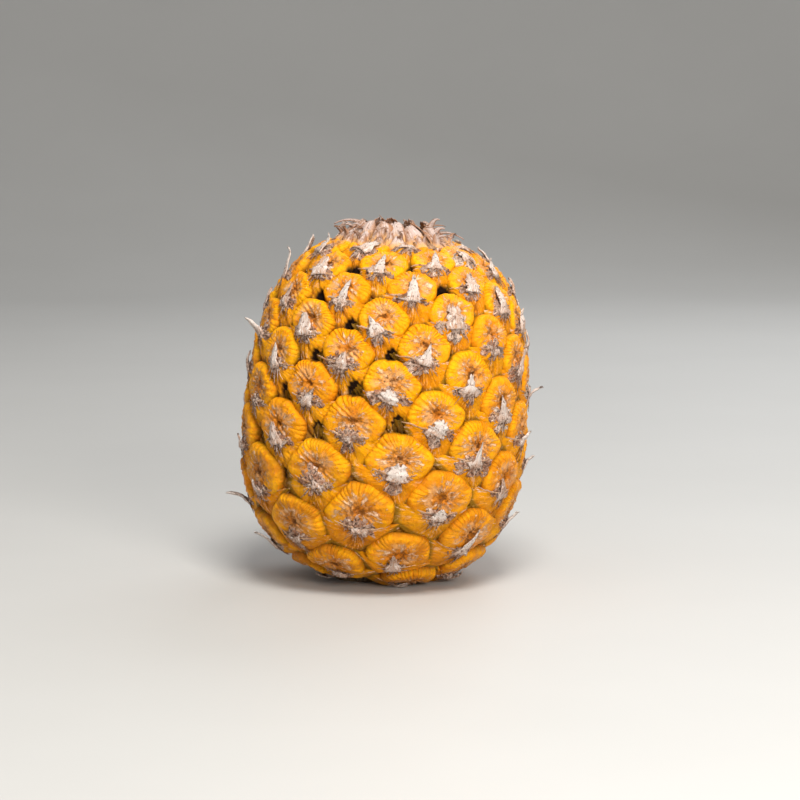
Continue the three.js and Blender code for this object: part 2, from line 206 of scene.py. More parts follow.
def pads_mesh(name, pads):
    """Closed pads in one mesh. Each is (rings, middle, under, looks): rings is a grid of circles of points from the
    middle outwards, and the last circle closes to the point under it."""
    places, quads, triangles, looks, start = [], [], [], {}, 0
    for rings, middle, under, shades in pads:
        rows, around = rings.shape[:2]
        grid = start + np.arange(rows * around).reshape(rows, around)
        after = np.roll(grid, -1, axis=1)
        quads.append(np.stack([grid[:-1], grid[1:], after[1:], after[:-1]], -1).reshape(-1, 4))
        first, last = np.full(around, start + rows * around), np.full(around, start + rows * around + 1)
        triangles += [np.stack([first, grid[0], after[0]], -1), np.stack([last, after[-1], grid[-1]], -1)]
        places += [rings.reshape(-1, 3), middle[None], under[None]]
        for look, values in shades.items():
            flat = np.broadcast_to(values, (rows, around)).ravel()
            looks.setdefault(look, []).append(np.concatenate([flat, [flat[:around].mean(), flat[-around:].mean()]]))
        start += rows * around + 2
    looks = {look: np.concatenate(values) for look, values in looks.items()}
    return make_mesh(name, np.concatenate(places), np.concatenate(quads), np.concatenate(triangles), looks)


def part_of(solid, node_slot, *pieces):
    """These pieces ride on the fruit's one body and stand in for that solid. The node_slot argument is not used."""
    for piece in pieces:
        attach(piece, "root")
        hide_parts(solid)


class Finish:
    """A node material in the making. node() adds a shader node with its inputs set or linked by name."""

    def __init__(self, name, tree=None):
        if tree is None:
            self.material = bpy.data.materials.new(name)
            self.material.use_nodes = True
            tree = self.material.node_tree
            self.surface = tree.nodes["Principled BSDF"]
        self.tree = tree

    def node(self, kind, out=0, settings=None, **inputs):
        made = self.tree.nodes.new("ShaderNode" + kind)
        for key, value in (settings or {}).items():
            setattr(made, key, value)
        for key, value in inputs.items():
            self.put(made, key, value)
        return made.outputs[out]

    def feed(self, socket, value):
        """Links the socket to another, or sets it. Colours are given without their alpha."""
        if isinstance(value, bpy.types.NodeSocket):
            self.tree.links.new(value, socket)
        else:
            socket.default_value = (*value, 1) if socket.type == "RGBA" else value

    def put(self, node, key, value):
        """Feeds the node's input of that name, or of that number for i0, i1 and so on."""
        numbered = key[0] == "i" and key[1:].isdigit()
        self.feed(node.inputs[int(key[1:]) if numbered else key.replace("_", " ")], value)

    def attribute(self, name):
        return self.node("Attribute", out=2, settings={"attribute_name": name})

    def maths(self, operation, a, b=0.5):
        return self.node("Math", settings={"operation": operation}, i0=a, i1=b)

    def times(self, a, b):
        return self.maths("MULTIPLY", a, b)

    def plus(self, a, b):
        return self.maths("ADD", a, b)

    def minus(self, a, b):
        return self.maths("SUBTRACT", a, b)

    def coat(self, under, mask, amount, colour):
        """That colour laid over the one under it, by the amount where the mask is 1."""
        return self.blend(self.times(mask, amount), under, colour)

    def finished(self, colour, roughness, relief, depth, strength, shine=0.3):
        """The material, with these on its surface and the relief as a bump of that depth."""
        self.put(self.surface, "Base Color", colour)
        self.put(self.surface, "Roughness", roughness)
        self.put(self.surface, "Specular IOR Level", shine)
        self.put(self.surface, "Normal", self.node("Bump", Height=relief, Distance=depth, Strength=strength))
        return self.material

    def between(self, value, low, high):
        """0 below low, 1 above high and smooth between them."""
        smooth = {"interpolation_type": "SMOOTHSTEP"}
        return self.node("MapRange", settings=smooth, Value=value, From_Min=low, From_Max=high)

    def blend(self, share, a, b):
        made = self.tree.nodes.new("ShaderNodeMix")
        made.data_type = "RGBA"
        for place, value in ((0, share), (6, a), (7, b)):
            self.feed(made.inputs[place], value)
        return made.outputs[2]

    def noise(self, scale, detail=3.0, roughness=0.55, where=None):
        where = where or self.node("TexCoord", out=3)
        return self.node("TexNoise", Vector=where, Scale=scale, Detail=detail, Roughness=roughness)

    def shades(self, value, stops):
        """A colour ramp through (place, colour) stops."""
        made = self.tree.nodes.new("ShaderNodeValToRGB")
        self.tree.links.new(value, made.inputs[0])
        ramp = made.color_ramp
        while len(ramp.elements) < len(stops):
            ramp.elements.new(0.5)
        for element, (place, colour) in zip(ramp.elements, stops):
            element.position, element.color = place, (*colour, 1)
        return made.outputs[0]


def mottle_group():
    """Blotches for every skin here: one mask of large soft clouds, one of small sharp flecks."""
    tree = bpy.data.node_groups.new("skin_mottle", "ShaderNodeTree")
    for name, value in (("Cloud Scale", 60.0), ("Fleck Scale", 500.0), ("Fleck Cut", 0.6)):
        tree.interface.new_socket(name, in_out="INPUT", socket_type="NodeSocketFloat").default_value = value
    for name in ("Clouds", "Flecks"):
        tree.interface.new_socket(name, in_out="OUTPUT", socket_type="NodeSocketFloat")
    inside = Finish("", tree)
    given, given_back = tree.nodes.new("NodeGroupInput"), tree.nodes.new("NodeGroupOutput")
    clouds = inside.noise(given.outputs[0], detail=4)
    flecks = inside.noise(given.outputs[1], detail=5, roughness=0.65)
    tree.links.new(inside.between(clouds, 0.35, 0.65), given_back.inputs[0])
    tree.links.new(inside.between(inside.minus(flecks, given.outputs[2]), 0.0, 0.08), given_back.inputs[1])
    return tree


skin_mottle = mottle_group()
RIPE_ORANGE, LOWER_FRUIT_BROWN = (0.80, 0.225, 0.003), (0.44, 0.130, 0.006)


def mottled(finish, cloud_scale, fleck_scale, fleck_cut):
    """The skin_mottle group placed in a finish with its own values: (clouds, flecks)."""
    made = finish.tree.nodes.new("ShaderNodeGroup")
    made.node_tree = skin_mottle
    for socket, value in zip(made.inputs, (cloud_scale, fleck_scale, fleck_cut)):
        socket.default_value = value
    return made.outputs[0], made.outputs[1]


def ripened(finish, colour, scale, amount, down, clouds):
    """The colour with orange blotches of that scale laid on by the amount, and browner in clouds low on the fruit."""
    patches = finish.between(finish.noise(scale, detail=4, roughness=0.65), 0.46, 0.64)
    colour = finish.coat(colour, patches, amount, RIPE_ORANGE)
    browner_low = finish.times(finish.between(down, 0.35, 0.90), finish.times(clouds, 0.80))
    return finish.blend(browner_low, colour, LOWER_FRUIT_BROWN)


# ---- The dark skin between the eyes ----------------------------------------------------------------------------------
# Under and between the eyes the fruit is a closed barrel of brown, corky skin. It shows as the thin seams round each
# eye and, where the left wing of a bract is torn, as a deep pit that is painted near-black as shade.
GROOVE_DEPTH = 2.1
PIT_DEPTH = 3.6
# Near-black, painted as the shade deep in the pits.
PIT_SHADE_BLACK = (0.020, 0.008, 0.004)
TORN_WINGS = [19, 24, 27, 37, 45, 53, 58, 66, 71, 74, 79, 84, 92]
pit_places = np.array([eye_place[i] - 0.95 * cell_wide[i] * eye_right[i] + 0.4 * eye_up[i] for i in TORN_WINGS])
pit_sizes = 2.8 + 1.0 * eye_chance[TORN_WINGS, 8]


def pit_share(places):
    """1 at the middle of a pit and 0 away from it: the exponential of minus the fourth power of the distance in pit
    sizes, which counts less upwards and is made uneven by a product of sines."""
    off = places[..., None, :] - pit_places
    near = (np.sqrt(off[..., 0] ** 2 + off[..., 1] ** 2 + 0.5 * off[..., 2] ** 2) / pit_sizes).min(axis=-1)
    return np.exp(-((near * (1 + 0.15 * np.sin(2.3 * places[..., 0]) * np.sin(1.9 * places[..., 2]))) ** 4))


polar_steps = np.linspace(0.0, np.pi, 112)[1:-1, None]
turn_steps = np.linspace(0, 2 * np.pi, 200, endpoint=False)[None, :]
ground_towards = np.stack(np.broadcast_arrays(
    np.sin(polar_steps) * np.cos(turn_steps), np.sin(polar_steps) * np.sin(turn_steps), np.cos(polar_steps)
), -1)
ground_face = on_fruit(ground_towards, 0 * ground_towards[..., 0])
pit = pit_share(ground_face)
ground_rings = on_fruit(ground_towards, -GROOVE_DEPTH - PIT_DEPTH * pit)
poles = on_fruit(np.array([[0, 0, 1.0], [0, 0, -1.0]]), np.full(2, -GROOVE_DEPTH))
seam_skin = pads_mesh("seam_skin", [(ground_rings, poles[0], poles[1], {"pit": pit})])

cork = Finish("corky_seam")
clouds, flecks = mottled(cork, 140.0, 700.0, 0.55)
seam_colour = cork.blend(clouds, (0.17, 0.075, 0.006), (0.36, 0.150, 0.006))
seam_colour = cork.blend(flecks, seam_colour, (0.12, 0.045, 0.012))
# The pits are painted near-black as shade.
pit_shade_share = cork.between(cork.attribute("pit"), 0.05, 0.40)
seam_colour = cork.blend(pit_shade_share, seam_colour, (0.016, 0.006, 0.004))
seam_skin.data.materials.append(cork.finished(seam_colour, 0.85, cork.noise(900.0, detail=4), 0.0004, 0.7, shine=0.5))

# ---- The eyes --------------------------------------------------------------------------------------------------------
# The upper part of each eye is a plump roll of waxy skin, pleated like a drawn purse, round a wrinkled hollow with the
# dried flower's hole in its middle. It bulges up over the foot of the bract above, and its lower side is low and flat.
EYE_MIDDLE = 0.395
EYE_SHIFT = 0.28
ROLL_HEIGHT = 2.15
ROLL_AT = 0.71
EYE_POWER = 2.7
SKIN_RELIEF, SKIN_SHINE = 0.0011, 0.13

# Directions round an eye from straight down and back to it, closer together over the roll.
eye_turns = np.radians(np.concatenate([
    np.linspace(start, end, count, endpoint=False)
    for start, end, count in ((-90, -42, 11), (-42, 222, 112), (222, 270, 11))
]))
eye_shares = np.array([0.09, 0.19, 0.30, 0.41, 0.52, 0.62, 0.71, 0.80, 0.88, 0.94, 0.975, 0.993, 1.0])


def rounded(reach, roundness, size):
    """The soft smaller of two outlines: (reach**-n + size**-n)**(-1/n)."""
    return (reach**-roundness + size**-roundness) ** (-1 / roundness)


def wander(turn, waves, chances):
    """A smooth random curve round the eye: a sum of sines of the given counts, with random phases."""
    return sum(np.sin(n * turn + 2 * np.pi * c) / n**0.5 for n, c in zip(waves, chances)) / len(waves)


def unit(rows):
    """The same directions, each one long."""
    return rows / np.linalg.norm(rows, axis=1, keepdims=True)


def smooth_step(value, low, high):
    """0 below low, 1 above high, and 3 t t - 2 t t t between."""
    t = np.clip((value - low) / (high - low), 0, 1)
    return t * t * (3 - 2 * t)


def eye_pad(i):
    """The outline is a super-ellipse, cut softly where the next eyes' outlines begin. Height over the barrel = a low
    floor that climbs as a smooth step to the roll, then a steep super-ellipse down into the seam, plus broad lobes and
    crumples that are products of sines, less a raised cosine for each pleat."""
    luck, own = eye_chance[i], np.random.default_rng(1000 + i)
    wide, tall = cell_wide[i], cell_tall[i]
    side, up = 0.09 * wide * (2 * luck[0] - 1), EYE_MIDDLE * tall
    turn, share = eye_turns, eye_shares[:, None]
    half_tall = np.where(np.sin(turn) > 0, 0.56 + 0.06 * luck[9], 0.53) * tall
    half_wide = (0.78 + 0.07 * luck[10]) * wide
    across, upwards = np.abs(np.cos(turn) / half_wide), np.abs(np.sin(turn) / half_tall)
    oval = (across**EYE_POWER + upwards**EYE_POWER) ** (-1 / EYE_POWER)
    reach = rounded(cell_reach(i, side, up - EYE_SHIFT * tall, turn) + 0.4, 16, oval)
    lobes = wander(turn, (5, 6, 8, 11), own.random(4))
    pleats = int(29 + 10 * luck[11])
    phase = pleats * turn / (2 * np.pi) + 1.3 * wander(turn, (2, 3, 5, 8), own.random(4))
    fine = np.clip(0.6 + 1.3 * wander(turn, (1, 2, 4), own.random(3)), 0.15, 1)
    groove = 0.5 - 0.5 * np.cos(2 * np.pi * phase)
    reach = reach * (1 + 0.045 * lobes + 0.02 * wander(turn, (13, 17), own.random(2)) - 0.012 * fine * groove)
    upper = 0.5 + 0.5 * np.tanh((np.sin(turn) + 0.42) / 0.22)
    crest = ROLL_AT + 0.08 * wander(turn, (1, 2, 4), own.random(3))
    swing = 1 + 0.35 * wander(turn, (2, 3), own.random(2))
    roll = 0.8 + (ROLL_HEIGHT * (0.88 + 0.24 * luck[1]) - 0.8) * upper * swing
    floor = 0.2 + (0.75 + 0.6 * luck[2]) * smooth_step(share, 0.02, 0.20)
    climb = floor + (roll - floor) * smooth_step(share, 0.22, crest)
    past = np.clip((share - crest) / (1 - crest), 0, 1)
    fall = roll - (roll + 1.3) * (1 - np.clip(1 - past**3.2, 0, 1) ** 0.6)
    height = np.where(share < crest, climb, fall)
    pleated = 0.5 + 0.5 * np.tanh((np.sin(turn) + 0.12) / 0.25)
    ribbing = smooth_step(share, 0.52, 0.74) * (0.12 + 0.88 * pleated)
    height = height + ribbing * (1.3 * lobes - 0.32 * fine * groove)
    right, above = side + share * reach * np.cos(turn), up + share * reach * np.sin(turn)
    a, b, c, d = 6.3 * own.random(4)
    crumple = np.sin(1.5 * right + 0.6 * above + a) * np.sin(1.9 * above + b)
    crumple = crumple + 0.7 * np.sin(2.9 * right + c) * np.sin(2.3 * above - right + d)
    creases = np.sin(1.1 * right - 0.8 * above + c) * np.sin(0.9 * above + 0.7 * right + d)
    height = height + 0.45 * crumple * smooth_step(0.72 - share, 0, 0.25)
    height = height + 0.25 * creases * smooth_step(1 - share, 0, 0.3)
    pit = pit_share(on_fruit(on_plane(i, right, above), 0 * height)) * 0.4 * smooth_step(share, 0.80, 0.97)
    rings = beside(i, right, above, height - PIT_DEPTH * pit)
    last = beside(i, side + 0.985 * (right[-1:] - side), up + 0.985 * (above[-1:] - up), np.full((1, len(turn)), -3.0))
    middle, under = beside(i, side, up, -0.3), beside(i, side, up, -3.4)
    looks = {
        "reach": np.append(eye_shares, 1.05)[:, None],
        "rib": phase[None, :],
        "upper": (pleated * fine)[None, :],
        "pit": np.concatenate([pit, pit[-1:]]),
        "eye": luck[2],
        "down": eye_arc[i] / outline_arc[-1],
    }
    return np.concatenate([rings, last]), middle, under, looks


def in_thirds(kind, pad):
    """The pads of all open eyes in three meshes, so that none is too large."""
    thirds = zip(("top", "middle", "base"), np.array_split(open_eyes, 3))
    return [pads_mesh(f"{kind}_{name}", [pad(i) for i in group]) for name, group in thirds]


eye_pieces = in_thirds("eyes", eye_pad)

skin = Finish("waxy_eye")
reach, rib, upper, luck, down = (skin.attribute(name) for name in ("reach", "rib", "upper", "eye", "down"))
clouds, flecks = mottled(skin, 110.0, 620.0, 0.56)
# From the flower's hole outwards: black-brown, the dried flower's brown deepened by painted shade in the hole, then
# tan, orange, ripe yellow on the roll, and olive brown in the seam.
waxy = skin.shades(reach, [
    (0.00, (0.025, 0.010, 0.005)), (0.08, (0.16, 0.055, 0.014)), (0.18, (0.62, 0.230, 0.040)),
    (0.40, (0.88, 0.350, 0.040)), (0.60, (0.97, 0.405, 0.003)), (0.88, (0.99, 0.440, 0.001)),
    (0.965, (0.66, 0.310, 0.002)), (1.0, (0.17, 0.095, 0.006)),
])
# Each eye ripened a little differently, in blotches, and the lower ones are browner.
orange = skin.times(skin.between(luck, 0.30, 1.0), 0.50)
waxy = skin.blend(orange, waxy, (0.88, 0.285, 0.002))
waxy = ripened(skin, waxy, 190.0, 0.60, down, clouds)
# Pale peach flesh shows in soft patches round the hollow.
inner = skin.minus(1.0, skin.between(reach, 0.50, 0.80))
peach = skin.times(skin.between(skin.noise(170.0, detail=4), 0.50, 0.62), inner)
waxy = skin.coat(waxy, peach, 0.65, (0.90, 0.47, 0.19))
# Pleats: soft orange grooves between ridges whose crests catch the light.
# The grooves' deeper orange is painted shade.
pleat_wave = skin.maths("COSINE", skin.times(rib, 2 * math.pi))
ribbed = skin.times(skin.between(reach, 0.50, 0.74), skin.plus(upper, 0.08))
shaded_pleat_grooves = skin.times(skin.between(pleat_wave, 0.1, -0.9), ribbed)
waxy = skin.coat(waxy, shaded_pleat_grooves, 0.40, (0.84, 0.255, 0.002))
# Radial streaks: noise read in pleats and reach. Pale flecks gather in the ring round the hollow and thin out outwards.
# Round the hollow they are dry scales; out on the roll they are painted glints.
streak_place = skin.node("CombineXYZ", X=rib, Y=skin.times(reach, 2.6), Z=skin.times(luck, 40.0))
streak_noise = skin.noise(0.8, detail=4, roughness=0.7, where=streak_place)
ring = skin.times(skin.between(reach, 0.10, 0.30), skin.minus(1.0, skin.between(reach, 0.48, 0.92)))
fine_grain = skin.noise(560.0, detail=5, roughness=0.7)
scales_and_glints = skin.plus(skin.times(streak_noise, 0.55), skin.times(fine_grain, 0.45))
pale = skin.between(skin.plus(scales_and_glints, skin.times(ring, 0.095)), 0.600, 0.665)
waxy = skin.coat(waxy, pale, 0.75, (0.93, 0.64, 0.43))
hollow = skin.minus(1.0, skin.between(reach, 0.12, 0.50))
cracks = skin.between(skin.noise(430.0, detail=5, roughness=0.7), 0.52, 0.60)
waxy = skin.blend(skin.times(skin.times(cracks, hollow), 0.80), waxy, (0.24, 0.080, 0.018))
waxy = skin.coat(waxy, flecks, 0.45, (0.56, 0.175, 0.008))
# Painted shade: the torn-wing pits go near-black.
waxy = skin.blend(skin.between(skin.attribute("pit"), 0.12, 0.38), waxy, PIT_SHADE_BLACK)
relief = skin.minus(skin.plus(skin.noise(330.0, detail=5, roughness=0.65), fine_grain), skin.times(shaded_pleat_grooves, 0.35))
relief = skin.plus(relief, skin.times(pale, 0.4))
relief = skin.minus(relief, skin.times(cracks, hollow))
roughness = skin.node("MapRange", Value=pale, To_Min=0.34, To_Max=0.75)
waxy_eye = skin.finished(waxy, roughness, relief, SKIN_RELIEF, 0.9, SKIN_SHINE)
for piece in eye_pieces:
    piece.data.materials.append(waxy_eye)

# ---- The fleshy feet of the bracts -----------------------------------------------------------------------------------
# Below each eye its bract spreads from one point into two plump wings and a creased keel between them, a triangle that
# runs down between the next two eyes and under them.
FAN_UP = -0.5
HEM_TILT = math.radians(9)

wing_turns = np.linspace(-np.pi - HEM_TILT, HEM_TILT, 94)
wing_shares = np.array([0.10, 0.21, 0.33, 0.45, 0.57, 0.69, 0.80, 0.91, 1.02, 1.14, 1.27, 1.42])


def bract_foot(i):
    """Height = a slope that falls with the square of the distance from the fan's point, plus a bell-shaped pad for each
    wing and for the keel, less two creases between them and fine random pleats along the fan."""
    luck, own = eye_chance[i], np.random.default_rng(3000 + i)
    turn, share = wing_turns, wing_shares[:, None]
    reach = np.minimum(cell_reach(i, 0.0, FAN_UP - EYE_SHIFT * cell_tall[i], turn), 1.2 * cell_wide[i])
    below = np.degrees(np.maximum(0, np.minimum(-turn, np.pi + turn)))
    for end, torn in ((turn, 0.06 * own.random()), (-np.pi - turn, 0.30 if i in TORN_WINGS else 0.06 * own.random())):
        reach = reach * (1 - torn * np.exp(-((np.degrees(end) / 24) ** 2)))
    reach = reach * (1 + 0.03 * wander(turn, (5, 9, 14), own.random(3)))
    keel_turn = math.radians(-90 + 10 * (own.random() - 0.5))
    from_keel = np.degrees(np.abs(turn - keel_turn))
    keel = np.exp(-((from_keel / 15) ** 2))
    wings = np.exp(-(((below - 38) / 22) ** 2))
    folds = np.exp(-(((from_keel - 24) / 6) ** 2))
    strands = sum(np.abs(np.sin(n * turn + 7 * c)) for n, c in zip((9, 17, 29), own.random(3)))
    swell = np.sin(np.pi * np.clip(0.08 + 0.82 * share, 0, 1))
    height = 1.2 - 1.25 * share**1.8 + swell * ((0.9 + 0.5 * luck[4]) * wings + 0.9 * keel - 0.8 * folds)
    height = height - 0.26 * strands * (0.35 + keel) * np.minimum(1, 1.5 * share)
    bumps = np.sin(0.9 * share * reach + 5 * turn + 6 * own.random()) * np.sin(7 * turn + 6 * own.random())
    creases = np.abs(np.sin(3.5 * turn + 6 * own.random() + 0.4 * np.sin(5 * share))) ** 0.6
    height = height + (0.28 * bumps + 0.55 * (creases - 0.8)) * swell
    right, above = share * reach * np.cos(turn), FAN_UP + share * reach * np.sin(turn)
    pit = pit_share(on_fruit(on_plane(i, right, above), 0 * height))
    top = beside(i, right, above, height - PIT_DEPTH * pit)
    # Two rows of points below each end of the fan close the pad.
    deep = beside(i, right, above, np.full_like(height, -3.2))
    rings = np.concatenate([top, deep[:, -1:], deep[:, :1]], axis=1)
    middle, under = beside(i, 0.0, FAN_UP, 1.3), beside(i, 0.0, FAN_UP - 3, -3.6)
    wide = lambda row: np.concatenate([row, row[-1:], row[:1]])[None, :]
    looks = {
        "reach": wing_shares[:, None],
        "keel": wide(np.exp(-((from_keel / 26) ** 2))),
        "hem": wide(np.exp(-below / 10)),
        "fan": wide(turn),
        "pit": np.concatenate([pit, pit[:, -1:], pit[:, :1]], axis=1),
        "eye": luck[3],
        "down": eye_arc[i] / outline_arc[-1],
    }
    return rings, middle, under, looks


bract_pieces = in_thirds("bracts", bract_foot)

flesh = Finish("fleshy_bract")
reach, keel, hem = (flesh.attribute(name) for name in ("reach", "keel", "hem"))
fan, luck, down = (flesh.attribute(name) for name in ("fan", "eye", "down"))
clouds, flecks = mottled(flesh, 120.0, 600.0, 0.56)
# Streaks run along the fan: their noise is stretched by reading it in turn and reach.
streak_place = flesh.node("CombineXYZ", X=flesh.times(fan, 4.0), Y=reach, Z=flesh.times(luck, 40.0))
streak_noise = flesh.noise(2.6, detail=5, roughness=0.7, where=streak_place)
dark_streaks = flesh.between(streak_noise, 0.49, 0.57)
pale_streaks = flesh.between(streak_noise, 0.45, 0.39)
fleshy = flesh.blend(flesh.between(luck, 0.2, 1.0), (0.97, 0.410, 0.001), (0.93, 0.335, 0.001))
fleshy = ripened(flesh, fleshy, 210.0, 0.36, down, clouds)
fleshy = flesh.blend(flesh.between(reach, 1.00, 1.20), fleshy, (0.30, 0.150, 0.006))
# The keel is dried to red-brown with dark streaks, and so is the skin round the fan's point.
keel_mark = flesh.times(keel, flesh.plus(0.12, flesh.times(dark_streaks, 0.68)))
fleshy = flesh.blend(keel_mark, fleshy, (0.30, 0.080, 0.010))
near_point = flesh.minus(1.0, flesh.between(reach, 0.15, 0.70))
dry = flesh.times(near_point, flesh.plus(0.20, flesh.times(dark_streaks, 0.65)))
fleshy = flesh.blend(dry, fleshy, (0.30, 0.105, 0.030))
papery = flesh.maths("MAXIMUM", hem, flesh.times(flesh.maths("MAXIMUM", keel, near_point), 0.75))
fleshy = flesh.coat(fleshy, papery, pale_streaks, (0.90, 0.60, 0.40))
fine_grain = flesh.noise(620.0, detail=5, roughness=0.75)
pale = flesh.between(fine_grain, 0.60, 0.68)
fleshy = flesh.coat(fleshy, pale, 0.50, (0.90, 0.55, 0.26))
fleshy = flesh.coat(fleshy, flecks, 0.34, (0.46, 0.145, 0.010))
# Painted shade: the torn-wing pits go near-black.
fleshy = flesh.blend(flesh.between(flesh.attribute("pit"), 0.12, 0.55), fleshy, PIT_SHADE_BLACK)
relief = flesh.plus(flesh.times(streak_noise, 1.6), flesh.noise(330.0, detail=5, roughness=0.65))
relief = flesh.plus(relief, fine_grain)
roughness = flesh.node("MapRange", Value=papery, To_Min=0.38, To_Max=0.80)
fleshy_bract = flesh.finished(fleshy, roughness, relief, SKIN_RELIEF, 0.9, SKIN_SHINE)
for piece in bract_pieces:
    piece.data.materials.append(fleshy_bract)

# ---- The dry tips of the bracts --------------------------------------------------------------------------------------
# From the fan's point the bract ends in dry, papery tongues folded up over the eye, and in a thin ragged hem along each
# wing. Some tongues are whole and pointed, some are torn off, and a few round the fruit's edge stand out and curl.
PROUD_TIPS = {
    17: (7, 4.5, 0), 18: (5, 9, 0), 21: (7, 6.5, 1), 22: (7, 5, 0), 26: (8, 6.5, 0), 34: (10, 9, 0), 43: (9, 4.5, 0),
    55: (5, 10, -2), 64: (4, 7.5, 0), 77: (6, 5.5, 0), 85: (6, 5.5, 0), 98: (8, 5, 0), 102: (7, 10.5, 0),
    110: (12, 6, 0),
}
# Tongues that lie flat and pale over their eye: length, width, sweep to the right.
PALE_TIPS = {
    11: (7, 9, 0), 19: (9, 6.5, 1), 24: (9, 5.5, 0), 32: (10.5, 6.5, -0.5), 37: (9.5, 5, 1), 45: (7, 7, -5),
    53: (7, 7, 1), 61: (6.5, 7, 0), 66: (3.5, 10, 1), 74: (5, 9, 2), 82: (9, 5.5, 0.5), 87: (6, 11, 0),
    95: (4.5, 9, 0), 103: (12, 6, 3),
}


def strips_mesh(name, strips):
    """Closed blades in one mesh. Each is (front, normal, thickness, looks): front is a grid of points, along by across,
    and the back is the same grid moved in by the thickness."""
    places, quads, looks, start = [], [], {}, 0
    for front, normal, thickness, shades in strips:
        rows, across = front.shape[:2]
        back = front - normal * thickness
        loop = np.concatenate([front, back[:, ::-1]], axis=1)
        grid = start + np.arange(rows * 2 * across).reshape(rows, 2 * across)
        after = np.roll(grid, -1, axis=1)
        quads.append(np.stack([grid[:-1], grid[1:], after[1:], after[:-1]], -1).reshape(-1, 4))
        for end, turned in ((grid[0], False), (grid[-1], True)):
            cap = np.stack([end[: across - 1], end[1:across], end[::-1][1:across], end[::-1][: across - 1]], -1)
            quads.append(cap[:, ::-1] if turned else cap)
        places.append(loop.reshape(-1, 3))
        for look, values in shades.items():
            both = np.broadcast_to(values, (rows, across))
            looks.setdefault(look, []).append(np.concatenate([both, both[:, ::-1]], axis=1).ravel())
        start += rows * 2 * across
    looks = {look: np.concatenate(values) for look, values in looks.items()}
    return make_mesh(name, np.concatenate(places), np.concatenate(quads), np.zeros((0, 3), int), looks)


def bend(points, count):
    """A smooth line of that many points: the quadratic curve with these three control points."""
    t = np.linspace(0, 1, count)[:, None]
    return (1 - t) ** 2 * points[0] + 2 * t * (1 - t) * points[1] + t**2 * points[2]


def blade(line, facing, width, cupping, shape, across=7, thickness=0.25, looks=None):
    """A blade along a line: half widths follow shape, and its section is a shallow arch that turns towards facing."""
    along = unit(np.gradient(line, axis=0))
    side = unit(np.cross(facing, along))
    out = np.cross(along, side)
    s = np.linspace(-1, 1, across)
    half = (width / 2 * shape)[:, None, None]
    arch = half * (cupping * (1 - s**2))[None, :, None]
    front = line[:, None] + side[:, None] * half * s[None, :, None] + out[:, None] * arch
    shades = {"along": np.linspace(0, 1, len(line))[:, None], "across": s[None, :]}
    shades.update(looks or {})
    return front, out[:, None], np.full((1, 1, 1), thickness), shades


def tongue(i, start, heading, length, rise, width, own, pale, rows=11, knee=0.4):
    """A papery tongue on eye i from start, along heading on the skin: half widths fall as a power of the way left, with
    random notches, and the sheet is crumpled by sines along and across it."""
    t = np.linspace(0, 1, rows)
    ahead = np.array([math.sin(heading), math.cos(heading)])
    at = lambda way, lift: beside(i, start[0] + way * ahead[0], start[1] + way * ahead[1], lift)
    line = bend([at(0, 2.0), at(knee * length, 0.35 * rise + 2.2), at(length, rise)], rows)
    notch = 1 + 0.6 * (own.random(rows) - 0.5) * (t > 0.1)
    shape = np.clip(1.04 - t, 0.03, 1) ** ((0.55 if width < 8 else 0.25) + 0.4 * own.random()) * notch
    across = 7
    front, out, thickness, looks = blade(line, eye_normal[i], width, 0.22, shape, across, looks={"eye": pale})
    s = np.arange(across)
    ripple = 0.32 * np.sin(1.9 * s + 6 * own.random() + 3 * t[:, None])
    ripple = ripple + 0.30 * np.sin(7 * t[:, None] + 6 * own.random())
    fringe = 2.2 * (own.random(across) - 0.5) * t[:, None] ** 2
    along = unit(np.gradient(line, axis=0))
    front = front + out * (ripple * np.minimum(1, 3 * t[:, None]))[..., None] + along[:, None] * fringe[..., None]
    return front, out, thickness, looks


def tip_tongues(i):
    """The middle tongue of eye i, and up to three short torn ones that fan out on both sides of its root."""
    own, luck = np.random.default_rng(5000 + i), eye_chance[i]
    made = []
    if i in PROUD_TIPS:
        length, rise, sweep = PROUD_TIPS[i]
        made.append(tongue(i, (0, -2), math.atan2(sweep, length), length, rise, 7.0, own, 1.0, knee=0.95))
    elif i in PALE_TIPS:
        length, width, sweep = PALE_TIPS[i]
        made.append(tongue(i, (0, -2), math.atan2(sweep, length), length + 1.5, 3.2, width, own, 1.0))
    elif luck[4] < 0.75:
        whole = luck[4] < 0.42
        length = (8.0 if whole else 4.5) * (0.8 + 0.5 * luck[5])
        heading, rise, width = 0.9 * (luck[6] - 0.5), 2.6 + 1.2 * luck[7], 5 + 4 * luck[8]
        pale = 0.35 + 0.6 * own.random()
        made.append(tongue(i, (0, -2), heading, length + 1.5, rise, width, own, pale))
    for k in range(4):
        if own.random() < 0.8:
            heading = (-1) ** k * math.radians(20 + 70 * own.random())
            side = 5 * (own.random() - 0.5)
            length, rise, width, pale = own.random(4) * (2.6, 0.8, 3, 0.7) + (1.8, 1.3, 2, 0)
            made.append(tongue(i, (side, -1.5), heading, length, rise, width, own, pale, rows=7))
    return made


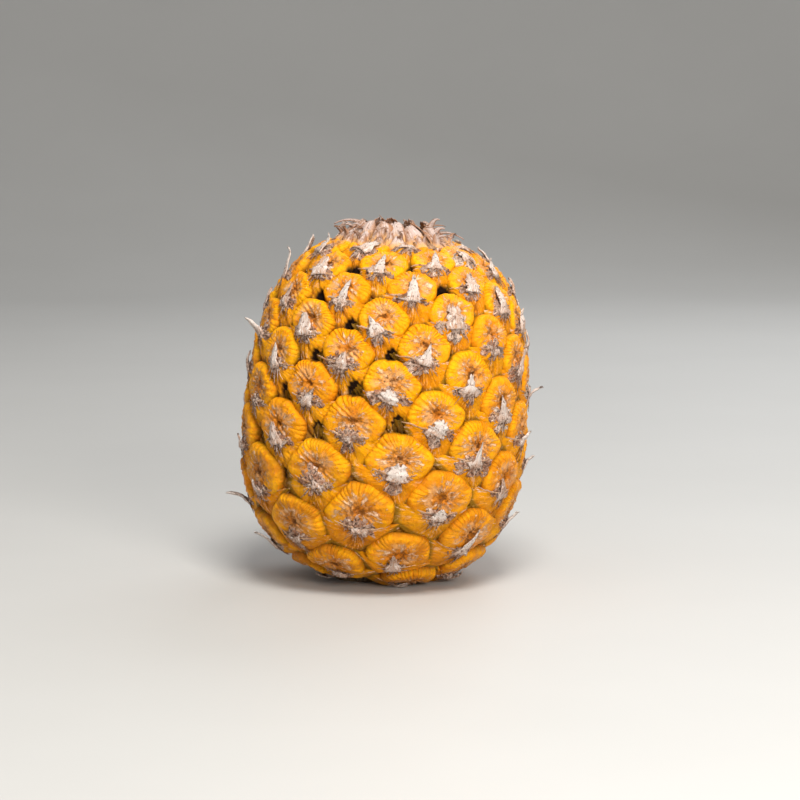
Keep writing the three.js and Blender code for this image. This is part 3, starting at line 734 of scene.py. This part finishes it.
def wing_hem(i, hand):
    """The ragged edge of eye i's bract on one hand: a narrow blade along the top of the wing, from the fan's point to
    the wing's end, lifted over the eye's lower side."""
    own = np.random.default_rng(6000 + 2 * i + (hand > 0))
    turn = HEM_TILT if hand > 0 else math.pi - HEM_TILT
    room = min(cell_reach(i, 0.0, FAN_UP - EYE_SHIFT * cell_tall[i], np.array([turn]))[0], cell_wide[i])
    length = room * (0.72 + 0.24 * own.random())
    at = lambda way, lift: beside(i, way * math.cos(turn), FAN_UP + way * math.sin(turn), lift)
    line = bend([at(1.0, 1.7), at(0.55 * length, 1.9 + 0.5 * own.random()), at(length, -0.1)], 16)
    t = np.linspace(0, 1, 16)
    line = line + eye_up[i] * (0.5 * wander(6 * t, (1, 2, 4), own.random(3)))[:, None]
    shape = np.clip(1.05 - t, 0.1, 1) ** 0.6 * (1 + 1.1 * (own.random(16) - 0.5))
    width, pale = 0.9 + 0.7 * own.random(), 0.4 + 0.6 * own.random()
    facing = eye_normal[i] - 0.5 * eye_up[i]
    return blade(line, facing, width, 0.15, shape, across=5, thickness=0.2, looks={"eye": pale})


dry_tips = strips_mesh("dry_tips", [blade_made for i in open_eyes for blade_made in tip_tongues(i)])
wing_hems = strips_mesh("wing_hems", [wing_hem(i, hand) for i in open_eyes for hand in (-1, 1)])


def dry_paper(piece, name, pale_colour, brown_colour, dark_colour, bleach, dirt=0.5, edge_shade=0.0, foot=None):
    """Gives the piece dry plant paper: long fibres between pale and brown, bleached to the end and on the paler blades,
    with blotches and flecks of dirt, browner to both edges by the share in edge_shade as painted shade between
    neighbouring blades, and fading into the foot's colour at its root."""
    finish = Finish(name)
    along, across, own_luck = (finish.attribute(key) for key in ("along", "across", "eye"))
    where = finish.node("CombineXYZ", X=finish.times(across, 3.0), Y=along, Z=finish.times(own_luck, 50.0))
    fibre = finish.between(finish.noise(2.2, detail=6, roughness=0.75, where=where), 0.36, 0.62)
    clouds, flecks = mottled(finish, 380.0, 800.0, 0.62 - 0.14 * dirt)
    papery = finish.blend(fibre, brown_colour, pale_colour)
    bleached = finish.times(finish.between(along, 0.05, 0.5), finish.between(own_luck, 1.1 - bleach, 1.0))
    papery = finish.coat(papery, clouds, dirt, brown_colour)
    papery = finish.coat(papery, bleached, 0.70, pale_colour)
    papery = finish.coat(papery, flecks, 0.80, dark_colour)
    if edge_shade:
        # Painted shade: each blade darker brown towards both edges, as in the shade between neighbouring leaves.
        edge = finish.between(finish.maths("ABSOLUTE", across), 0.45, 0.95)
        papery = finish.coat(papery, edge, edge_shade, brown_colour)
    if foot:
        fresh = finish.plus(along, finish.times(finish.noise(150.0), 0.5))
        fresh = finish.times(finish.between(fresh, 0.82, 0.52), finish.attribute("foot"))
        papery = finish.blend(fresh, papery, foot)
    roughness = finish.node("MapRange", Value=fibre, To_Min=0.75, To_Max=0.90)
    relief = finish.plus(fibre, finish.noise(1100.0, detail=3))
    piece.data.materials.append(finish.finished(papery, roughness, relief, 0.0004, 0.8))


dry_paper(dry_tips, "dry_tip_paper", (0.92, 0.84, 0.78), (0.54, 0.27, 0.14), (0.20, 0.09, 0.05), 0.7)
dry_paper(wing_hems, "dry_hem", (0.92, 0.66, 0.46), (0.60, 0.25, 0.07), (0.24, 0.09, 0.03), 0.6)

# ---- The scruff and fibres round each tip ----------------------------------------------------------------------------
# Where the tip dried its skin broke up: a patch of grey-white scruff lies round its root, and a brush of brittle fibres
# spreads from it down the keel and out along the wings.

# Size and whiteness of the patch on the eyes that show: some are a white flake, some only brown fibres.
SCRUFF_LOOKS = {
    19: (0.9, 0.5), 24: (0.8, 0.2), 27: (1.2, 0.6), 29: (1.0, 0.6), 32: (0.55, 0.3), 37: (0.8, 0.3), 40: (1.2, 0.8),
    42: (0.9, 0.3), 45: (0.75, 0.5), 48: (1.0, 0.4), 50: (1.15, 0.3), 53: (1.0, 0.6), 58: (1.15, 0.3), 61: (0.8, 0.9),
    63: (0.8, 0.6), 66: (1.25, 0.75), 69: (1.2, 0.7), 71: (1.0, 0.3), 74: (1.15, 0.95), 79: (1.15, 0.25),
    82: (1.5, 0.75), 84: (1.0, 0.3), 87: (1.2, 0.95), 92: (1.3, 0.4), 95: (1.2, 0.9), 97: (1.0, 0.2),
    100: (1.35, 0.35), 103: (0.6, 0.5), 105: (1.0, 0.1), 108: (0.5, 0.2), 113: (0.7, 0.5),
}


def scruff(i, nth):
    """A crumpled disc by the fan's point: its edge and its height are sums of random sines with ridges that run from
    its middle outwards, and it sinks into the skin as the square of the way out. The first disc is large and the
    others lie beside it."""
    own = np.random.default_rng(7000 + 10 * i + nth)
    turn = np.linspace(0, 2 * np.pi, 38, endpoint=False)
    share = np.linspace(0.2, 1, 6)[:, None]
    big, white = SCRUFF_LOOKS.get(i, (0.7 + 0.6 * eye_chance[i, 9], eye_chance[i, 10]))
    size = big * (1.0 if nth == 0 else 0.35 + 0.3 * own.random())
    wide, tall = size * (4.2 + 3.2 * own.random()), size * (3.2 + 2.4 * own.random())
    ragged = 1 + 0.8 * wander(turn, (2, 3, 5, 8, 13), own.random(5))
    side = 2.4 * (own.random() - 0.5) if nth == 0 else (-1) ** nth * (3.0 + 3.5 * own.random())
    up = -1.2 + 2.2 * own.random() - (1.6 if i in PALE_TIPS else 0) + 0.14 * abs(side) * own.random()
    right, above = side + share * wide * ragged * np.cos(turn), up + share * tall * ragged * np.sin(turn)
    crumple = 0.45 * np.sin(2.6 * right + 6 * own.random()) * np.sin(3.1 * above + 6 * own.random())
    crumple = crumple + 0.35 * np.sin(5.2 * right + 2 * above + 6 * own.random())
    ridges = 0.38 * np.sin(10 * turn + 6 * own.random()) + 0.25 * np.sin(7 * turn + 9 * share + 6 * own.random())
    height = 1.85 - 0.08 * abs(side) + crumple * (1.2 - 0.4 * share) + ridges * share - 0.9 * share**2
    rings = beside(i, right, above, height)
    lower = beside(i, right[-1:], above[-1:], np.full_like(right[-1:], -0.6))
    middle, under = beside(i, side, up, 1.9 - 0.08 * abs(side)), beside(i, side, up, -1.0)
    bleach = white - (0.4 if i in PALE_TIPS else 0) + 0.3 * (own.random() - 0.5)
    looks = {"along": np.append(share[:, 0], 1)[:, None], "across": np.sin(5 * turn)[None], "eye": bleach}
    return np.concatenate([rings, lower]), middle, under, looks


scruff_patches = pads_mesh("scruff_patches", [scruff(i, nth) for i in open_eyes for nth in range(3)])
dry_paper(scruff_patches, "grey_scruff", (0.95, 0.78, 0.65), (0.42, 0.145, 0.050), (0.055, 0.022, 0.012), 0.6, dirt=0.8)


def fibre_strands(i):
    """Thin strips. Most hang down over the keel from anywhere along the scruff, some lie along the wings, and a few
    stand up. Each is a quadratic curve between three points on the skin."""
    own = np.random.default_rng(9000 + i)
    white, made = SCRUFF_LOOKS.get(i, (1, eye_chance[i, 10]))[1], []
    for strand in range(int(22 + 30 * eye_chance[i, 6])):
        kind = own.random()
        x, y = 3.4 * (own.random() + own.random() - 1), 1.0 - 3.6 * own.random()
        if kind < 0.60:
            turn, length = math.radians(-90 + 14 * x + 30 * (own.random() - 0.5)), 1.4 + 6.5 * own.random() ** 2.2
        elif kind < 0.85:
            tilt = math.radians(-14 + 24 * own.random())
            turn, length = (tilt if x > 0 else math.pi - tilt), 1.8 + 4.0 * own.random() ** 2
        else:
            turn, length = 2 * math.pi * own.random(), 1.5 + 2.0 * own.random()
        bent = turn + 0.8 * (own.random() - 0.5)
        where = np.array([
            [x, y], [x + 0.5 * length * math.cos(bent), y + 0.5 * length * math.sin(bent)],
            [x + length * math.cos(turn), y + length * math.sin(turn)],
        ])
        lifts = np.array([2.0, 2.3, (1.1 if length > 5 else 1.5) + 0.9 * own.random()])
        control = [beside(i, x, y, lift) for (x, y), lift in zip(where, lifts)]
        shape = np.clip(1.1 - np.linspace(0, 1, 4), 0.12, 1)
        width = 0.35 + 0.9 * own.random() ** 2
        looks = {"eye": (0.5 + 0.6 * white) * own.random()}
        made.append(blade(bend(control, 4), eye_normal[i], width, 0.3, shape, across=3, thickness=0.18, looks=looks))
    return made


fibres = strips_mesh("bract_fibres", [strand for i in open_eyes for strand in fibre_strands(i)])
dry_paper(fibres, "brittle_fibre", (0.93, 0.76, 0.65), (0.27, 0.105, 0.038), (0.06, 0.028, 0.016), 0.6, dirt=0.8)

part_of("fruit", "skin", seam_skin, *eye_pieces, *bract_pieces, dry_tips, wing_hems, scruff_patches, fibres)

# ---- The crown's stub ------------------------------------------------------------------------------------------------
# The crown was twisted off. It left a fibrous scar in a low cone of torn leaf bases, which are dry, thin and pinkish
# cream. They lean inwards to a ragged rim, arched and ribbed, and a few split ends curl outwards.
CROWN_TOP = BODY_HALF_HEIGHT
SCAR_SEAT = CROWN_TOP - 3.4
RIM_LEAN = 0.25


def at_crown(places):
    """From the fruit's own axis to the crown's: turned to the left about the fruit's middle, then shifted."""
    x, y, z = places[..., 0], places[..., 1], places[..., 2]
    c, n = math.cos(CROWN_TILT), math.sin(CROWN_TILT)
    return np.stack([x * c + z * n, y, z * c - x * n], -1) + CROWN_OFFSET


def crown_frame(bearing):
    """The outward direction at that bearing, and the function that places a point of the crown: that far out from its
    axis, up from its seat with the rim's lean, and to the side."""
    outward = np.array([math.sin(bearing), -math.cos(bearing), 0])
    across = np.array([math.cos(bearing), math.sin(bearing), 0])

    def at(out, up, side=0.0):
        return outward * out + across * side + np.array([-RIM_LEAN * max(0, up), 0, CROWN_TOP + up])

    return outward, at


def crown_leaf(bearing, root, base, reach, rise, width, torn, curl, own):
    """A leaf base: a blade that arches outwards, up from the scar, with ribs along it, its end ragged or pointed and
    rolled outwards as the fourth power of the way up."""
    outward, at = crown_frame(bearing)
    drift = 3 * (own.random() - 0.5)
    shoulder = at(root + 1.4 + 0.15 * reach, base + 0.45 * (rise - base), 0.3 * drift)
    line = bend([at(root + 1.5, base - 3.2), shoulder, at(root + reach, rise, drift)], 15)
    t = np.linspace(0, 1, 15)
    line = line + (outward * curl - np.array([0, 0, 0.3 * curl])) * (t**4)[:, None]
    shape = np.clip(1.06 - t**2.2, 0.03, 1) ** (0.30 if torn else 0.95) * (1 + 0.10 * np.sin(9 * t + 6 * own.random()))
    facing, looks = outward + np.array([0, 0, 0.4]), {"eye": own.random(), "foot": 1}
    front, out, thickness, looks = blade(line, facing, width, 0.6, shape, across=11, looks=looks)
    ragged = np.clip((t - 0.5) / 0.5, 0, 1)[:, None] ** 2 * (own.random(11) - 0.6)[None, :] * (1.5 if torn else 0.8)
    along = unit(np.gradient(line, axis=0))
    ribs = 0.42 * np.cos(1.9 * np.arange(11) + 2.0 * t[:, None] + 6 * own.random()) * np.minimum(1, 2 * t)[:, None]
    return front + along[:, None] * ragged[..., None] + out * ribs[..., None], out, thickness, looks


crown_chance = np.random.default_rng(53)
pick = lambda low, high: low + (high - low) * crown_chance.random()
crown_leaves = []
# Rows of leaf bases: how many, root radius, root height, the ranges of reach, rise, width and curl, and how many tear.
for level, (count, root, base, reach, rise, width, curl, torn) in enumerate((
    (15, 24.0, -1.5, (-5.0, -3.0), (1.5, 4.5), (5, 8), (0, 1.0), 0.3),
    (21, 22.5, -1.0, (-9.0, -6.5), (4.5, 6.8), (4, 6), (0, 1.0), 0.8),
    (14, 17.5, 0.5, (-5.0, -3.5), (6.8, 8.2), (6, 10), (0, 1.5), 0.95),
    (12, 22.0, -1.0, (-2, 3.5), (2.5, 6.5), (3, 5.5), (1.5, 5.0), 0.1),
)):
    for k in range(count):
        bearing = (k + 0.5 * level + 0.7 * crown_chance.random()) / count * 2 * math.pi
        shape = pick(*reach), pick(*rise), pick(*width), crown_chance.random() < torn, pick(*curl)
        crown_leaves.append(crown_leaf(bearing, root, base, *shape, crown_chance))


def crown_shred(own):
    """A fine strip torn from the collar: a curve from the collar's flank that springs outwards and droops or rises."""
    bearing, root, rise = 2 * math.pi * own.random(), 16 + 8 * own.random(), 1 + 6.5 * own.random()
    outward, at = crown_frame(bearing)
    length, drift = 2.5 + 5.5 * own.random(), 6 * (own.random() - 0.5)
    flank = root - 0.35 * rise
    end = at(flank + length, rise + 4 * (own.random() - 0.6), drift)
    line = bend([at(flank, rise), at(flank + 0.6 * length, rise + 0.8, 0.4 * drift), end], 8)
    shape = np.clip(1.1 - np.linspace(0, 1, 8), 0.12, 1)
    width, looks = 0.5 + 1.1 * own.random(), {"eye": own.random(), "foot": 0}
    return blade(line, outward + np.array([0, 0, 1.0]), width, 0.4, shape, across=3, thickness=0.2, looks=looks)


crown_leaves += [crown_shred(crown_chance) for _ in range(40)]
# The long curls that stand out against the sky: bearing, rise and radius at the root, then at the end, and width.
for bearing, root_rise, root, end_rise, end, width in (
    (-92, 8.0, 13.5, 5.0, 27.5, 2.2), (-84, 6.0, 17.5, 4.4, 25.5, 1.6), (-100, 4.5, 19.0, 6.2, 24.0, 1.3),
    (84, 6.0, 15.0, 10.5, 21.0, 3.0), (78, 5.0, 17.0, 6.8, 23.0, 3.4), (88, 5.5, 17.5, 2.4, 30.5, 1.6),
    (70, 4.0, 18.5, 3.0, 27.0, 2.0), (-60, 6.5, 16.0, 6.0, 22.0, 1.8),
):
    outward, at = crown_frame(math.radians(bearing))
    crest = at(0.5 * (root + end), max(root_rise, end_rise) + 1.2)
    line = bend([at(root, root_rise - 2), crest, at(end, end_rise)], 12)
    shape = np.clip(1.08 - np.linspace(0, 1, 12), 0.12, 1) ** 0.8
    facing, looks = outward * 0.4 + np.array([0, -0.8, 1.0]), {"eye": 0.9, "foot": 0}
    crown_leaves.append(blade(line, facing, width, 0.4, shape, across=5, looks=looks))
torn_leaves = strips_mesh("torn_crown_leaves", [
    (at_crown(front), at_crown(out) - at_crown(0 * out), *rest) for front, out, *rest in crown_leaves
])
dry_paper(
    torn_leaves, "crown_leaf_paper", (0.80, 0.66, 0.61), (0.42, 0.19, 0.085), (0.20, 0.08, 0.035), 0.7,
    dirt=0.45, edge_shade=0.85, foot=(0.93, 0.50, 0.19)
)

# The scar's profile: height over the crown's top against radius, with ribs round it and on its wall.
scar_turn = np.linspace(0, 2 * np.pi, 112, endpoint=False)
scar_radius = CROWN_RADIUS * np.linspace(0.05, 0.985, 26)[:, None]
scar_height = np.interp(scar_radius, [0, 10.5, 12.5, 16.0, 24.6], [2.6, 2.0, 3.6, 3.6, -0.9])
scar_height = scar_height + 0.35 * np.sin(23 * scar_turn + 0.4 * scar_radius)
scar_height = scar_height + 0.35 * np.sin(13 * scar_turn - 0.9 * scar_radius) - 0.3
scar_rings = np.stack([scar_radius * np.sin(scar_turn), -scar_radius * np.cos(scar_turn), CROWN_TOP + scar_height], -1)
scar_wall = np.stack([scar_rings[-1, :, 0], scar_rings[-1, :, 1], np.full_like(scar_turn, SCAR_SEAT)], -1)
scar_looks = {
    "along": np.append(np.linspace(1, 0, 26), 0)[:, None], "across": np.sin(scar_turn * 8)[None, :], "eye": 0.3
}
crown_scar = pads_mesh("crown_scar", [(
    at_crown(np.concatenate([scar_rings, scar_wall[None]])), at_crown(np.array([0, 0, CROWN_TOP + 2.3])),
    at_crown(np.array([0, 0, SCAR_SEAT])), scar_looks
)])
dry_paper(crown_scar, "fibrous_scar", (0.66, 0.45, 0.30), (0.33, 0.165, 0.075), (0.09, 0.05, 0.025), 0.3)
part_of("crown_stub", "dry_leaf", torn_leaves, crown_scar)

# ---- The stalk's stub ------------------------------------------------------------------------------------------------
# The stalk was cut off level with the lowest eyes. It is a bundle of tough fibres, ribbed outside, and its cut end is
# what the fruit stands on.
STALK_SEAT = -BODY_HALF_HEIGHT + 5.0
stalk_share = np.linspace(0.08, 1, 12)[:, None]
stalk_turn = np.linspace(0, 2 * np.pi, 112, endpoint=False)[None, :]
stalk_radius = (STALK_RADIUS - 0.35 + 0.3 * np.cos(28 * stalk_turn)) * stalk_share
stalk_x, stalk_y = stalk_radius * np.cos(stalk_turn), -stalk_radius * np.sin(stalk_turn)
# The cut is level with the table: z follows from the lean, with shallow rings and rays pressed up into it.
table_z = (stalk_x * math.sin(LEAN) - STANDING_PLACE[2]) / math.cos(LEAN)
cut_relief = 0.18 * (1 + np.sin(17 * stalk_turn + 5 * stalk_share)) * np.sin(np.pi * stalk_share)
stalk_rings = np.stack([stalk_x, stalk_y, table_z + cut_relief], -1)
stalk_neck = np.stack([stalk_x[-1], stalk_y[-1], np.full_like(stalk_x[-1], STALK_SEAT)], -1)
stalk_looks = {"along": np.append(stalk_share[:, 0], 1)[:, None], "across": np.sin(9 * stalk_turn), "eye": 0.7}
stalk_end = pads_mesh("stalk_end", [(
    np.concatenate([stalk_rings, stalk_neck[None]]), np.array([0, 0, -STANDING_PLACE[2] / math.cos(LEAN)]),
    np.array([0, 0, STALK_SEAT]), stalk_looks
)])
dry_paper(stalk_end, "cut_stalk", (0.42, 0.30, 0.17), (0.20, 0.12, 0.06), (0.06, 0.035, 0.02), 0.2)
part_of("stalk_stub", "stalk", stalk_end)

# ---- The table -------------------------------------------------------------------------------------------------------
# A plain pale sheet that curves up behind the fruit, so that no edge shows from the front.
sheet_y = np.concatenate([np.linspace(-2.5, 1.2, 20), 1.2 + 1.2 * np.sin(np.linspace(0.05, np.pi / 2, 16)), [2.4]])
sheet_z = np.concatenate([np.zeros(20), 1.2 - 1.2 * np.cos(np.linspace(0.05, np.pi / 2, 16)), [3.5]])
sheet_x = np.array([-3.0, 3.0])
sheet_points = np.stack(np.broadcast_arrays(sheet_x, sheet_y[:, None], sheet_z[:, None]), -1)
sheet_grid = np.arange(74).reshape(37, 2)
sheet_quads = np.stack([sheet_grid[:-1, 0], sheet_grid[:-1, 1], sheet_grid[1:, 1], sheet_grid[1:, 0]], -1)
sheet = bpy.data.meshes.new("table")
sheet.from_pydata(sheet_points.reshape(-1, 3), [], sheet_quads.tolist())
sheet.polygons.foreach_set("use_smooth", np.ones(len(sheet.polygons), dtype=bool))
table = bpy.data.objects.new("table", sheet)
bpy.context.collection.objects.link(table)
table_finish = Finish("pale_table")
table_tone = table_finish.blend(table_finish.noise(6.0), (0.50, 0.495, 0.48), (0.54, 0.535, 0.52))
table_finish.put(table_finish.surface, "Base Color", table_tone)
table_finish.put(table_finish.surface, "Roughness", 0.6)
sheet.materials.append(table_finish.material)
